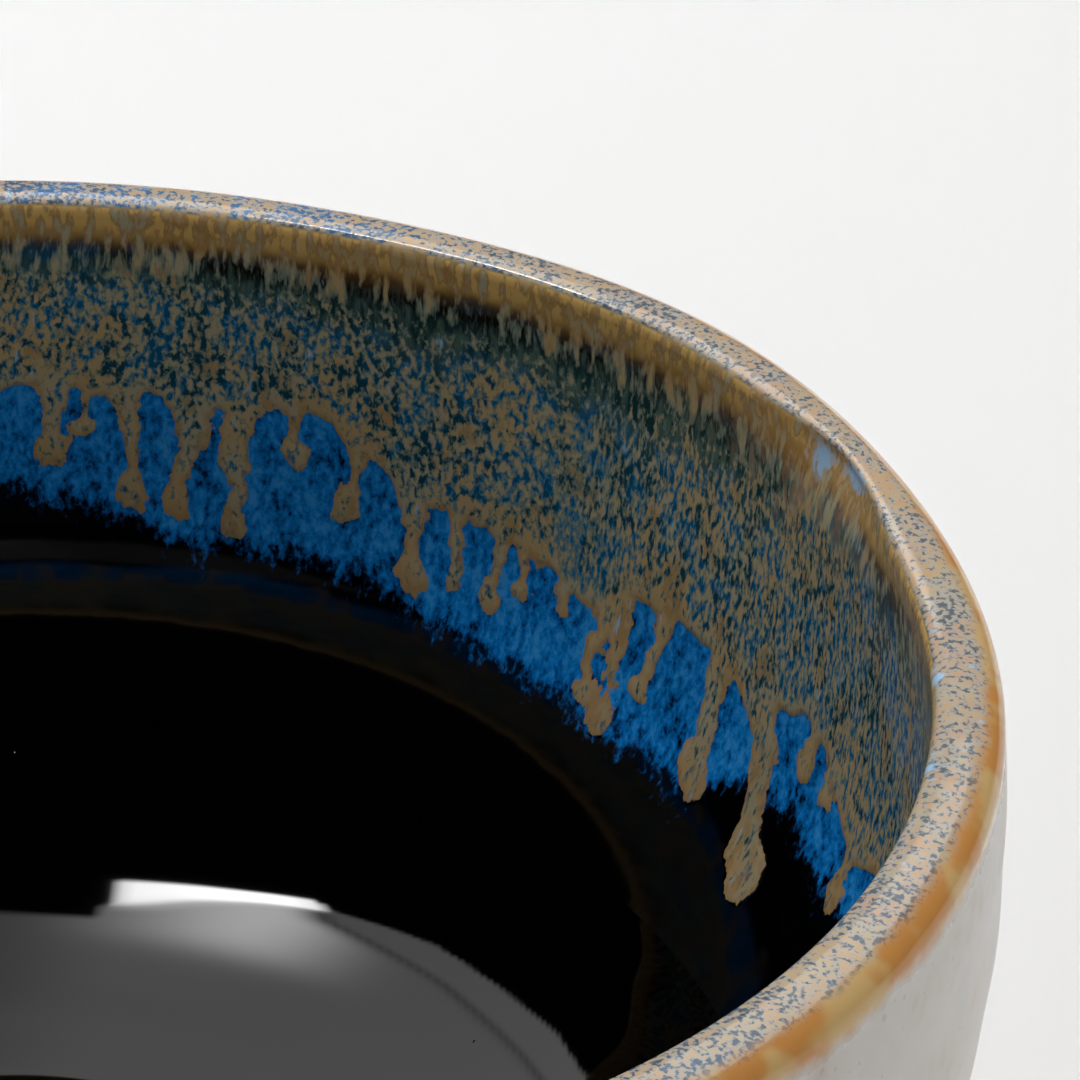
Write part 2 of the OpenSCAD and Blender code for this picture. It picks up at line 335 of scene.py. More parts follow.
@dataclass(frozen=True)
class RunPattern:
    """Where the tan coat ends: a wavy edge with runs hanging from it, and where the blue dies into black.

    Distances round the bowl are measured at the reference radius. Each run near the lip is (azimuth, depth of
    its tip, width of its bulb, lean), where the lean is how many degrees the neck drifts back for each
    millimetre above the bulb.
    """

    radius: float = 57.3
    near_runs: tuple[tuple[float, float, float, float], ...] = (
        (-11.5, 25.5, 2.4, 0), (-5.6, 23.6, 2.6, 0), (-2.5, 21.2, 1.5, 0), (0.5, 26.8, 2.6, 0),
        (4.7, 27.7, 2.3, 0), (8.9, 28.5, 2.3, 0), (13.1, 21.6, 2.2, 0), (17.6, 25.3, 2.4, 0),
        (23.1, 29.3, 2.4, 0), (26.2, 27.8, 1.8, 0), (30.3, 29, 2.2, 0), (32.5, 27.3, 1.6, 0),
        (35.7, 27.1, 1.7, 0), (39.9, 32.2, 1.9, 0), (41.1, 33.5, 2.3, 0), (44.5, 29.8, 2, 0),
        (51.6, 33.3, 3.1, 0), (58.6, 34.9, 2.4, 0.3), (61.1, 36.3, 4, 0.52), (62.6, 26.2, 1.9, 0),
        (65.6, 26.5, 2, 0), (70.5, 31, 2.4, 0),
    )
    near_edge: tuple[tuple[float, float], ...] = (
        (-16, 17), (-8.3, 16), (-4.1, 18.2), (1.9, 15.9), (6.2, 18.5), (10.7, 15.3), (14.5, 16.5),
        (20.5, 20.5), (24.5, 23.7), (30.8, 23.3), (37.3, 25.5), (41.7, 22.5), (44.3, 22), (51.2, 23.5),
        (57.2, 23.5), (62, 20.5), (70.5, 26.5), (78, 25),
    )
    near_fade: tuple[tuple[float, float], ...] = (
        (-14, 26), (-7, 27), (-3.9, 28.2), (0, 29.1), (6.5, 30.8), (11.2, 29.7), (18.7, 30.5), (23, 31.7),
        (32, 32.2), (42.5, 33.5), (52.6, 33.5), (58, 28.9), (63, 30.8), (68, 32), (74, 31.5), (80, 31),
    )
    far_from: float = 75.0
    far_to: float = 345.0
    far_count: int = 42
    neck_share: float = 0.26
    neck_flare: float = 0.11
    fillet: float = 0.9
    sway: float = 0.45
    lean_over: float = 11.0

    @property
    def around(self) -> float:
        """Distance round the bowl at the reference radius."""
        return 2 * math.pi * self.radius

    def along(self, azimuth: Array) -> Array:
        """Returns the distance round the bowl at an azimuth."""
        return np.radians(azimuth) * self.radius

    def _curve(
        self, azimuth: Array, points: Sequence[tuple[float, float]], level: float, seed: int
    ) -> Array:
        """Returns a depth that follows points near the lip and wanders about a level elsewhere.

        Args:
            azimuth: Degrees.
            points: (azimuth, depth) pairs near the lip, in rising order.
            level: The mean depth elsewhere, in mm.
            seed: Seed of the wandering.

        Returns:
            Depths in mm.
        """
        a = wrap(azimuth - 30.0) + 30.0
        known = np.array(points, dtype=float)
        smooth = sum(np.interp(a + s, known[:, 0], known[:, 1]) for s in (-2.0, 0.0, 2.0)) / 3
        free = level + 2.5 * Grain(26.0, seed, self.around).at(self.along(azimuth), 0 * azimuth)
        near = ease(a, known[0, 0] - 12, known[0, 0]) * (1 - ease(a, known[-1, 0], known[-1, 0] + 12))
        return free + (smooth - free) * near

    def runs(self) -> list[tuple[float, float, float, float]]:
        """Returns every run: those near the lip, then the rest spread round with sine-made variety.

        Returns:
            (azimuth, depth of the tip, width of the bulb, lean) for each run.
        """
        step = (self.far_to - self.far_from) / self.far_count
        far = [
            (
                self.far_from + step * (i + 0.5) + 1.3 * math.sin(math.radians(137 * i)),
                28 + 3.5 * math.sin(math.radians(101 * i)) + 3 * math.sin(math.radians(233 * i + 40)),
                2.5 + 0.8 * math.sin(math.radians(71 * i)),
                0.12 * math.sin(math.radians(157 * i)),
            )
            for i in range(self.far_count)
        ]
        return list(self.near_runs) + far

    def inside(self, azimuth: Array, depth: Array) -> Array:
        """Returns the distance to the tan coat's edge, positive inside the coat.

        The coat is a half-plane above the wavy edge, joined by rounded unions to one tapering neck for each run
        and one egg for its bulb. Grains bend the coordinates so that no outline is regular.

        Args:
            azimuth: Degrees.
            depth: Depth in mm, in the same grid.

        Returns:
            Distances in mm.
        """
        x, y = self.along(azimuth), depth
        wide = Grain(2.2, 11, self.around), Grain(2.2, 12, self.around)
        small = Grain(0.8, 13, self.around), Grain(0.45, 14, self.around)
        bx = x + 0.42 * wide[0].at(x, y)
        by = y + 0.5 * wide[1].at(x, y)
        edge = self._curve(azimuth, self.near_edge, 22.0, 21)
        outside = 0.85 * (by - edge + 1.2 * Grain(5.0, 22, self.around).at(x, 0 * y))
        for i, (at, tip, width, lean) in enumerate(self.runs()):
            half = width / 2
            sway = self.sway * np.sin(by / 3.1 + 2.1 * i)
            sway = sway - self.along(lean * np.clip(tip - half - by, 0.0, self.lean_over))
            dx = (bx - self.along(np.array(at)) + self.around / 2) % self.around - self.around / 2 - sway
            down = np.clip(by, 10.0, tip - half)
            girth = self.neck_share * width * (1 + 0.25 * math.sin(1.7 * i))
            girth = girth + self.neck_flare * np.clip(tip - 1.5 * width - by, 0.0, 9.0)
            neck = 0.96 * (np.hypot(dx, by - down) - girth)
            bulb = np.hypot(dx, 0.85 * (by - tip + half)) - half
            outside = blend_min(outside, blend_min(neck, bulb, 0.6), self.fillet)
        return 0.15 - (outside + 0.25 * small[0].at(x, y) + 0.1 * small[1].at(x, y))

    def above_black(self, azimuth: Array, depth: Array) -> Array:
        """Returns how far a point lies above the depth where the blue has died into black.

        Args:
            azimuth: Degrees.
            depth: Depth in mm.

        Returns:
            Heights in mm, negative in the black.
        """
        x = self.along(azimuth)
        line = self._curve(azimuth, self.near_fade, 32.0, 31)
        return line + 1.1 * Grain(7.0, 32, self.around).at(x, 0 * depth) - depth


@dataclass(frozen=True)
class Spots:
    """Soft oval patches on the coat, each (azimuth, run, half-width in degrees, half-height, strength)."""

    patches: tuple[tuple[float, float, float, float, float], ...]

    def at(self, azimuth: Array, run: Array) -> Array:
        """Returns the largest of the patches' bumps, 0 to about 1.

        Args:
            azimuth: Degrees.
            run: Run coordinate in mm.

        Returns:
            The values, on the grid that the two make.
        """
        value = np.zeros(np.broadcast(azimuth, run).shape)
        for at, centre, width, height, strength in self.patches:
            value = np.maximum(value, strength * bell(wrap(azimuth - at), width) * bell(run - centre, height))
        return value


def pools() -> Spots:
    """Returns the dark pooled glaze under the rim: set patches near the lip, and sine-made ones elsewhere.

    Returns:
        Patches whose strength is how fully the flecks merge.
    """
    near = (
        (1, 4.2, 6, 1.6, 0.35), (9, 4.4, 6, 1.9, 0.7), (17, 4.8, 5, 2.4, 1.0), (23, 5.4, 5, 2.6, 1.0),
        (29, 5.0, 4, 2.4, 0.85), (35, 5.6, 4, 2.4, 1.0), (41, 6.0, 4.5, 2.6, 1.0), (47, 6.0, 4, 2.6, 0.85),
        (53, 6.0, 4, 3.0, 0.6),
    )
    count = 20
    far = tuple(
        (
            64 + 290 / count * (i + 0.5), 4.9 + 0.6 * math.sin(2.4 * i), 5.5 + 2 * math.sin(5.1 * i),
            2.2 + 0.4 * math.sin(1.3 * i), 0.65 + 0.3 * math.sin(3.3 * i),
        )
        for i in range(count)
    )
    return Spots(near + far)


LIP_CLOUDS = Spots((
    (58.3, 0.9, 1.6, 1.6, 1.1), (62.7, -0.2, 1.8, 1.0, 1.2), (60.2, 0.2, 1.8, 0.8, 0.6),
    (87.0, -0.9, 1.8, 0.7, 0.75), (97.0, -0.9, 2.2, 0.7, 0.75),
))
FOLD_SWEEP = Spots(((57.0, 2.5, 8.0, 4.5, 1.0),))


class Value:
    """A number in a shader. Python's arithmetic signs combine Values and numbers through Math nodes."""

    def __init__(self, graph: "Graph", socket: bpy.types.NodeSocket) -> None:
        """Wraps a socket of a graph."""
        self.graph = graph
        self.socket = socket

    def _math(self, operation: str, *terms: "Number") -> "Value":
        """Returns a Math node's result for the terms."""
        node = self.graph.node("ShaderNodeMath", {"operation": operation}, dict(enumerate(terms)))
        return Value(self.graph, node.outputs[0])

    def __add__(self, other: "Number") -> "Value":
        """Returns self + other."""
        return self._math("ADD", self, other)

    def __radd__(self, other: "Number") -> "Value":
        """Returns other + self."""
        return self._math("ADD", other, self)

    def __sub__(self, other: "Number") -> "Value":
        """Returns self - other."""
        return self._math("SUBTRACT", self, other)

    def __rsub__(self, other: "Number") -> "Value":
        """Returns other - self."""
        return self._math("SUBTRACT", other, self)

    def __mul__(self, other: "Number") -> "Value":
        """Returns self * other."""
        return self._math("MULTIPLY", self, other)

    def __rmul__(self, other: "Number") -> "Value":
        """Returns other * self."""
        return self._math("MULTIPLY", other, self)

    def ease(self, low: "Number", high: "Number") -> "Value":
        """Returns an S-curve from 0 at low to 1 at high; low may be the larger.

        Args:
            low: Where the result is 0.
            high: Where the result is 1.

        Returns:
            The curve.
        """
        levels = {0: self, 1: low, 2: high, 3: 0.0, 4: 1.0}
        node = self.graph.node("ShaderNodeMapRange", {"interpolation_type": "SMOOTHSTEP"}, levels)
        return Value(self.graph, node.outputs[0])

    def at_most(self, other: "Number") -> "Value":
        """Returns the smaller of self and other."""
        return self._math("MINIMUM", self, other)


Number = Union[Value, float]
Feed = Union[Value, bpy.types.NodeSocket, float, Sequence[float]]


class Graph:
    """The node tree of one material."""

    def __init__(self, name: str) -> None:
        """Makes an empty material of that name.

        Args:
            name: The material's name.
        """
        self.material = bpy.data.materials.new(name)
        self.material.use_nodes = True
        self.tree = self.material.node_tree
        self.tree.nodes.clear()

    def node(
        self,
        kind: str,
        settings: Optional[Mapping[str, Any]] = None,
        feeds: Optional[Mapping[Any, Feed]] = None,
    ) -> bpy.types.Node:
        """Adds a node.

        Args:
            kind: The node's type.
            settings: Properties, set first. `stops` is a list of (place, colour) for a colour ramp.
            feeds: Values or links for its sockets, by name or number.

        Returns:
            The node.
        """
        node = self.tree.nodes.new(kind)
        for name, value in (settings or {}).items():
            if name == "stops":
                self._set_stops(node.color_ramp, value)
            else:
                setattr(node, name, value)
        for key, value in (feeds or {}).items():
            self._feed(node.inputs[key], value)
        return node

    @staticmethod
    def _set_stops(ramp: bpy.types.ColorRamp, stops: Sequence[tuple[float, Colour]]) -> None:
        """Gives a colour ramp its stops.

        Args:
            ramp: The node's ramp.
            stops: (place, colour) pairs.
        """
        while len(ramp.elements) < len(stops):
            ramp.elements.new(0.5)
        for element, (place, colour) in zip(ramp.elements, stops):
            element.position = place
            element.color = (*colour, 1.0)

    def _feed(self, socket: bpy.types.NodeSocket, value: Feed) -> None:
        """Links or sets one input socket.

        Args:
            socket: The input.
            value: A link, a number, a colour or a vector.
        """
        if isinstance(value, Value):
            value = value.socket
        if isinstance(value, bpy.types.NodeSocket):
            self.tree.links.new(value, socket)
        elif socket.type == "RGBA" and len(value) == 3:
            socket.default_value = (*value, 1.0)
        else:
            socket.default_value = value

    def attribute(self, field: "Field") -> Value:
        """Returns a number stored on the mesh."""
        node = self.node("ShaderNodeAttribute", {"attribute_name": field.value})
        return Value(self, node.outputs["Fac"])

    def flow(self) -> bpy.types.NodeSocket:
        """Returns the coordinates stored on the mesh that patterns follow."""
        return self.node("ShaderNodeAttribute", {"attribute_name": Field.FLOW.value}).outputs["Vector"]

    def object_place(self) -> bpy.types.NodeSocket:
        """Returns the Object coordinates, in millimetres."""
        place = self.node("ShaderNodeTexCoord").outputs["Object"]
        return self.scaled(place, (1 / MM, 1 / MM, 1 / MM))

    def scaled(self, vector: bpy.types.NodeSocket, factors: Sequence[float]) -> bpy.types.NodeSocket:
        """Returns a vector multiplied part by part."""
        return self.node("ShaderNodeVectorMath", {"operation": "MULTIPLY"}, {0: vector, 1: factors}).outputs[0]

    def noise(
        self,
        vector: bpy.types.NodeSocket,
        size: float,
        detail: float = 2.0,
        roughness: float = 0.5,
        twist: float = 0.0,
    ) -> Value:
        """Returns noise about 0.5 whose blobs are about `size` of the vector's units across.

        Args:
            vector: The coordinates.
            size: Size of a blob in the vector's units.
            detail: How many finer layers are added.
            roughness: How strong each finer layer is.
            twist: How far the blobs are bent.

        Returns:
            The noise.
        """
        feeds = {"Vector": vector, "Scale": 1 / size, "Detail": detail, "Roughness": roughness}
        node = self.node("ShaderNodeTexNoise", {"noise_dimensions": "3D"}, {**feeds, "Distortion": twist})
        return Value(self, node.outputs[0])

    def mix(self, factor: Number, a: Feed, b: Feed) -> bpy.types.NodeSocket:
        """Returns the colour a where factor is 0 and b where it is 1."""
        return self.node("ShaderNodeMix", {"data_type": "RGBA"}, {0: factor, 6: a, 7: b}).outputs[2]

    def ramp(self, value: Value, stops: Sequence[tuple[float, Colour]]) -> bpy.types.NodeSocket:
        """Returns a colour picked from stops by a value."""
        return self.node("ShaderNodeValToRGB", {"stops": stops}, {0: value}).outputs[0]

    def bump(self, height: Value, distance: float) -> bpy.types.NodeSocket:
        """Returns a normal for a height of 0 to 1 that stands for `distance` millimetres."""
        return self.node("ShaderNodeBump", None, {"Distance": distance * MM, "Height": height}).outputs[0]

    def surface(self, feeds: Mapping[str, Feed]) -> bpy.types.Material:
        """Ends the graph in a Principled shader with those sockets fed, and returns the material.

        Args:
            feeds: Values or links for its sockets, by name.

        Returns:
            The material.
        """
        shader = self.node("ShaderNodeBsdfPrincipled", None, feeds)
        output = self.node("ShaderNodeOutputMaterial")
        self.tree.links.new(shader.outputs[0], output.inputs[0])
        return self.material


class Field(str, Enum):
    """Names of the numbers that the coats' meshes, and the softbox, carry for their finishes."""

    FLOW = "flow"
    RUN = "run"
    EDGE = "edge"
    FADE = "fade"
    POOL = "pool"
    CLOUD = "cloud"
    SWEEP = "sweep"
    FINE = "fine"
    RADIANCE = "radiance"


@dataclass(frozen=True)
class PaleFinish:
    """Warm grey-white glaze, honey-coloured where it thins above the foot."""

    pale: Colour = (0.60, 0.575, 0.54)
    warm: Colour = (0.53, 0.475, 0.41)
    cool: Colour = (0.53, 0.53, 0.515)
    honey: Colour = (0.44, 0.31, 0.16)
    speck: Colour = (0.22, 0.17, 0.12)
    cloud_size: float = 7.0
    speck_size: float = 0.7
    # Run coordinates over which painted shade darkens the glaze towards the warm tone.
    painted_shade_runs: tuple[float, float] = (-9.0, -26.0)
    roughness: float = 0.28
    foot_run: float = -80.0

    def ground(self, g: Graph, flow: bpy.types.NodeSocket) -> bpy.types.NodeSocket:
        """Returns the clouded grey of the glaze where it is thick.

        Args:
            g: The material's graph.
            flow: The coordinates that patterns follow.

        Returns:
            The colour.
        """
        cloud = g.noise(flow, self.cloud_size, 3.0, 0.6)
        colour = g.mix(cloud.ease(0.5, 0.7), g.mix(cloud.ease(0.5, 0.32), self.pale, self.warm), self.cool)
        specks = g.noise(flow, self.speck_size, 1.0).ease(0.7, 0.76)
        return g.mix(specks * 0.25, colour, self.speck)

    def material(self, name: str) -> bpy.types.Material:
        """Returns the glaze: clouded grey, fine specks, painted shade lower down the outside, and a honey line
        at its lower edge.

        Args:
            name: The material's name.

        Returns:
            The material.
        """
        g = Graph(name)
        flow = g.flow()
        run = g.attribute(Field.RUN)
        wander = g.noise(flow, 2.4, 3.0, 0.6)
        low = (run + 1.5 * (wander - 0.5)).ease(self.foot_run + 1.6, self.foot_run + 0.3)
        # Painted shade: lower down the outside the colour is mixed up to 60% towards the darker warm tone.
        colour = g.mix(run.ease(*self.painted_shade_runs) * 0.6, self.ground(g, flow), self.warm)
        colour = g.mix(low, colour, self.honey)
        return g.surface({
            "Base Color": colour,
            "Roughness": self.roughness,
            "Normal": g.bump(wander, 0.03),
        })


@dataclass(frozen=True)
class BlueFinish:
    """Mottled cobalt glaze that dies into black in a grainy edge."""

    black: Colour = (0.0004, 0.0005, 0.0008)
    navy: Colour = (0.0015, 0.016, 0.055)
    blue: Colour = (0.003, 0.13, 0.42)
    bright: Colour = (0.007, 0.25, 0.72)
    pale: Colour = (0.05, 0.34, 0.80)
    stops: tuple[float, ...] = (0.0, 0.18, 0.32, 0.5, 0.7, 0.95)
    grain_size: float = 0.58
    cloud_size: float = 2.3
    roughness: float = 0.07

    def tint(self, g: Graph, flow: bpy.types.NodeSocket, fade: Value) -> bpy.types.NodeSocket:
        """Returns the colour: a ramp over grainy noise that sinks below its dark end as the coat thins out.

        Args:
            g: The material's graph.
            flow: The coordinates that patterns follow.
            fade: Height above the black, in mm.

        Returns:
            The colour.
        """
        grain = g.noise(flow, self.grain_size, 3.0, 0.65, 0.2)
        cloud = g.noise(flow, self.cloud_size, 2.0)
        tone = 0.72 * fade.ease(-1.4, 3.0) + 1.5 * (grain - 0.5) + 0.9 * (cloud - 0.5) - 0.07
        tone = tone - 0.5 * fade.ease(-1.2, -4.0)
        colours = (self.black, self.black, self.navy, self.blue, self.bright, self.pale)
        return g.ramp(tone, list(zip(self.stops, colours)))

    def material(self, name: str) -> bpy.types.Material:
        """Returns the glaze with a slightly uneven skin.

        Args:
            name: The material's name.

        Returns:
            The material.
        """
        g = Graph(name)
        flow = g.flow()
        return g.surface({
            "Base Color": self.tint(g, flow, g.attribute(Field.FADE)),
            "Roughness": self.roughness,
            "Normal": g.bump(g.noise(flow, 2.2, 1.0), 0.01),
        })


@dataclass(frozen=True)
class TanFinish:
    """Tan glaze broken by blue flecks, amber where it is thin and dark where it pools."""

    blue_coat: BlueFinish
    pale: PaleFinish
    tan: Colour = (0.52, 0.37, 0.18)
    tan_grey: Colour = (0.45, 0.40, 0.26)
    tan_light: Colour = (0.51, 0.40, 0.265)
    peach: Colour = (0.56, 0.355, 0.21)
    brown: Colour = (0.40, 0.22, 0.07)
    honey: Colour = (0.72, 0.46, 0.15)
    umber: Colour = (0.13, 0.07, 0.02)
    yellow: Colour = (0.57, 0.38, 0.16)
    orange: Colour = (0.52, 0.24, 0.065)
    halo: Colour = (0.15, 0.235, 0.20)
    rim_halo: Colour = (0.36, 0.42, 0.46)
    navy: Colour = (0.008, 0.060, 0.095)
    blue: Colour = (0.010, 0.19, 0.42)
    rim_blue: Colour = (0.05, 0.18, 0.40)
    slate: Colour = (0.06, 0.10, 0.14)
    teal: Colour = (0.012, 0.045, 0.048)
    wisp: Colour = (0.085, 0.15, 0.125)
    pool_black: Colour = (0.010, 0.008, 0.006)
    mist: Colour = (0.36, 0.60, 0.86)
    rim_from: tuple[float, float] = (-0.65, -1.05)
    honey_span: tuple[float, float] = (3.8, 1.8)
    edge_honey_from: tuple[float, float] = (-3.5, -4.7)
    pale_from: tuple[float, float] = (-6.2, -7.6)
    tongues_to: tuple[float, float] = (6.5, 4.0)
    level: float = 0.508
    halo_levels: tuple[float, float] = (-0.11, 0.015)
    fleck_levels: tuple[float, float] = (-0.02, 0.095)
    streak_stretch: tuple[float, float, float] = (1.0, 1.0, 0.35)
    streak_size: float = 0.74
    broad_size: float = 4.6
    hue_size: float = 2.3
    blob_size: float = 0.48
    shred_stretch: tuple[float, float, float] = (1.0, 1.0, 0.6)
    shred_size: float = 0.34
    dot_size: float = 0.36
    roughness: float = 0.07

    def material(self, name: str) -> bpy.types.Material:
        """Returns the glaze: a tan ground, its flecks, then the details near its edges, in that order.

        The flecks come from one noise cut at a level: below it is ground, then a soft halo, then fleck. Under
        the rim the level falls where glaze pools, so that the flecks merge there and only tongues of ground
        are left.

        Args:
            name: The material's name.

        Returns:
            The material.
        """
        g = Graph(name)
        flow = g.flow()
        used = (Field.RUN, Field.EDGE, Field.FADE, Field.POOL, Field.FINE)
        run, edge, fade, pool, fine = (g.attribute(field) for field in used)
        on_rim = run.ease(*self.rim_from)
        streaks = g.noise(g.scaled(flow, self.streak_stretch), self.streak_size, 3.0, 0.55, 0.2)
        broad = g.noise(flow, self.broad_size, 2.0)
        hue = g.noise(flow, self.hue_size, 2.0, 0.6)

        ground = self._ground(g, on_rim, streaks, broad, hue)
        noise = self._fleck_noise(g, flow, run, fine, streaks)
        honey_zone = run.ease(-0.9, -0.6) * (run + 1.4 * (broad - 0.5)).ease(*self.honey_span)
        level = self.level - 0.2 * (broad - 0.5) - 0.115 * pool - 0.03 * honey_zone
        level = level + on_rim * (0.06 * fine - 0.045) + 0.12 * edge.ease(2.0, 0.4)
        level = level + 0.02 * fade.ease(6.0, 1.0)
        halo = noise.ease(level + self.halo_levels[0], level + self.halo_levels[1])
        fleck = noise.ease(level + self.fleck_levels[0], level + self.fleck_levels[1])

        deep = noise.ease(level + 0.04, level + 0.15)
        wall_fleck = g.mix(hue.ease(0.44, 0.56), self.navy, self.blue)
        wall_fleck = g.mix(deep * 0.7, wall_fleck, self.navy)
        rim_fleck = g.mix(hue.ease(0.38, 0.58), self.slate, self.rim_blue)
        rim_fleck = g.mix(fine.ease(0.2, 0.45), rim_fleck, self.slate)
        fleck_of = g.mix(on_rim, wall_fleck, rim_fleck)
        depths = g.mix(run.ease(3.6, 5.6), self.pool_black, self.teal)
        depths = g.mix((run * 0.05 + streaks).ease(0.72, 0.92), depths, self.wisp)
        pooled = (pool * 1.3 + run.ease(8.0, 4.5) * 0.4).at_most(1.0)
        fleck_of = g.mix(pooled * (1.0 - on_rim), fleck_of, depths)
        glassy = g.mix((run + 1.8 * (hue - 0.5) + 0.8 * pool).ease(0.6, 3.0), self.honey, self.umber)
        fleck_of = g.mix(honey_zone, fleck_of, glassy)
        halo_of = g.mix(honey_zone, g.mix(on_rim, self.halo, self.rim_halo), self.brown)

        colour = g.mix(halo * (0.85 - 0.35 * on_rim), ground, halo_of)
        colour = g.mix(fleck * (1.0 - 0.15 * on_rim * fine), colour, fleck_of)
        colour, pale_part = self._lip(g, flow, run, streaks, hue, colour)
        ragged = edge + 0.7 * (g.noise(flow, 0.5, 2.0) - 0.5)
        colour = g.mix(fade.ease(9.0, 1.0) * 0.25, colour, self.umber)
        rust = (ragged.ease(0.7, 0.25) + fade.ease(5.0, 1.5) * hue.ease(0.5, 0.6)).at_most(1.0)
        colour = g.mix(rust * hue.ease(0.3, 0.55) * 0.65, colour, self.brown)
        colour = g.mix(ragged.ease(0.26, 0.16), colour, self.blue_coat.tint(g, flow, fade))
        return g.surface({
            "Base Color": colour,
            "Roughness": self.roughness + pale_part * (self.pale.roughness - self.roughness),
            "Normal": g.bump(g.noise(flow, 1.6, 1.0), 0.015),
        })

    def _ground(
        self, g: Graph, on_rim: Value, streaks: Value, broad: Value, hue: Value
    ) -> bpy.types.NodeSocket:
        """Returns the tan between the flecks: clouds, pale streaks and brown blots, and peachy on the rim.

        Args:
            g: The material's graph.
            on_rim: 1 on the rim and 0 on the wall.
            streaks: Noise drawn out down the wall.
            broad: Wide noise.
            hue: Noise that picks between tones.

        Returns:
            The colour.
        """
        wall = g.mix(broad.ease(0.38, 0.62), self.tan, self.tan_grey)
        wall = g.mix(streaks.ease(0.5, 0.75) * 0.5, wall, self.tan_light)
        wall = g.mix(hue.ease(0.42, 0.34) * 0.55, wall, self.brown)
        rim = g.mix(hue.ease(0.4, 0.6), self.peach, self.tan_light)
        rim = g.mix(broad.ease(0.56, 0.4) * 0.5, rim, self.tan)
        return g.mix(on_rim, wall, rim)

    def _fleck_noise(
        self, g: Graph, flow: bpy.types.NodeSocket, run: Value, fine: Value, streaks: Value
    ) -> Value:
        """Returns the noise the flecks are cut from.

        It is blobs on the wall, finer streaks beside the lip, dots on the rim and tongues just under the rim.

        Args:
            g: The material's graph.
            flow: The coordinates that patterns follow.
            run: The run coordinate, in mm.
            fine: How fine the flecks are, 0 to 1.
            streaks: Noise drawn out down the wall.

        Returns:
            The noise.
        """
        blobs = g.noise(flow, self.blob_size, 2.0, 0.55, 0.25)
        shreds = g.noise(g.scaled(flow, self.shred_stretch), self.shred_size, 2.0, 0.55, 0.2)
        dots = g.noise(flow, self.dot_size, 2.0, 0.5, 0.35)
        noise = blobs + (shreds - blobs) * fine.ease(0.4, 0.62) * run.ease(-1.0, 1.0)
        noise = noise + (0.55 * dots + 0.45 * blobs - noise) * run.ease(-0.6, -1.1)
        return noise + (streaks - noise) * (run.ease(-1.1, -0.5) * run.ease(*self.tongues_to))

    def _lip(
        self, g: Graph, flow: bpy.types.NodeSocket, run: Value, streaks: Value, hue: Value, colour: Feed
    ) -> tuple[bpy.types.NodeSocket, Value]:
        """Returns the colour with the lip's clouds and streaks and the outer edge's honey line.

        Args:
            g: The material's graph.
            flow: The coordinates that patterns follow.
            run: The run coordinate, in mm.
            streaks: Noise drawn out down the wall.
            hue: Noise that picks between tones.
            colour: The colour so far.

        Returns:
            The colour, and how far the outside's pale glaze has taken over.
        """
        clouds, sweep = g.attribute(Field.CLOUD), g.attribute(Field.SWEEP)
        wander = g.noise(flow, 2.2, 3.0, 0.6)
        mist = (clouds + 2.2 * (streaks - 0.5) + 1.4 * (wander - 0.5)).ease(0.4, 0.8)
        colour = g.mix(mist * 0.9, colour, self.mist)
        lick = sweep * (streaks + 0.4 * (wander - 0.5)).ease(0.5, 0.56)
        colour = g.mix(lick * 0.7, colour, g.mix(hue.ease(0.45, 0.55), self.peach, self.brown))
        honey = g.mix(g.noise(flow, 5.0, 2.0, 0.6).ease(0.4, 0.54), self.yellow, self.orange)
        colour = g.mix((run + 1.3 * (wander - 0.5)).ease(*self.edge_honey_from), colour, honey)
        pale_part = (run + 1.8 * (wander - 0.5)).ease(*self.pale_from)
        return g.mix(pale_part, colour, self.pale.ground(g, flow)), pale_part


@dataclass(frozen=True)
class LinerFinish:
    """Deep gloss black glaze with a few pinholes."""

    black: Colour = (0.0003, 0.0003, 0.0004)
    pinhole_spacing: float = 6.0
    swell_size: float = 9.0
    roughness: float = 0.03
    specular: float = 0.27

    def material(self, name: str) -> bpy.types.Material:
        """Returns the glaze: flat black, a faint swell and pinholes where a cell's centre is close.

        Args:
            name: The material's name.

        Returns:
            The material.
        """
        g = Graph(name)
        place = g.object_place()
        cells = g.node(
            "ShaderNodeTexVoronoi", {"feature": "F1"}, {"Vector": place, "Scale": 1 / self.pinhole_spacing}
        )
        hole = Value(g, cells.outputs["Distance"]).ease(0.035, 0.0)
        swell = g.noise(place, self.swell_size, 1.0)
        return g.surface({
            "Base Color": self.black,
            "Roughness": self.roughness,
            "Specular IOR Level": self.specular,
            "Normal": g.bump(swell * 0.15 + hole, 0.06),
        })


@dataclass(frozen=True)
class ClayFinish:
    """Bare fired clay with iron specks and fine turning lines."""

    buff: Colour = (0.42, 0.31, 0.21)
    toasted: Colour = (0.33, 0.19, 0.105)
    iron: Colour = (0.07, 0.035, 0.02)
    cloud_size: float = 8.0
    speck_size: float = 0.6
    grit_size: float = 0.3
    line_pitch: float = 0.5
    roughness: float = 0.82

    def material(self, name: str) -> bpy.types.Material:
        """Returns the clay: two toasted tones, specks, grit and lines that run round the axis.

        Args:
            name: The material's name.

        Returns:
            The material.
        """
        g = Graph(name)
        place = g.object_place()
        cloud = g.noise(place, self.cloud_size, 3.0, 0.6)
        colour = g.mix(cloud.ease(0.35, 0.65), self.buff, self.toasted)
        specks = g.noise(place, self.speck_size, 1.0).ease(0.68, 0.74)
        colour = g.mix(specks * 0.8, colour, self.iron)
        grit = g.noise(place, self.grit_size, 3.0, 0.7)
        lines = g.noise(g.scaled(place, (0.05, 0.05, 1.0)), self.line_pitch, 2.0)
        return g.surface({
            "Base Color": colour,
            "Roughness": self.roughness,
            "Normal": g.bump(grit * 0.6 + lines * 0.4, 0.08),
        })


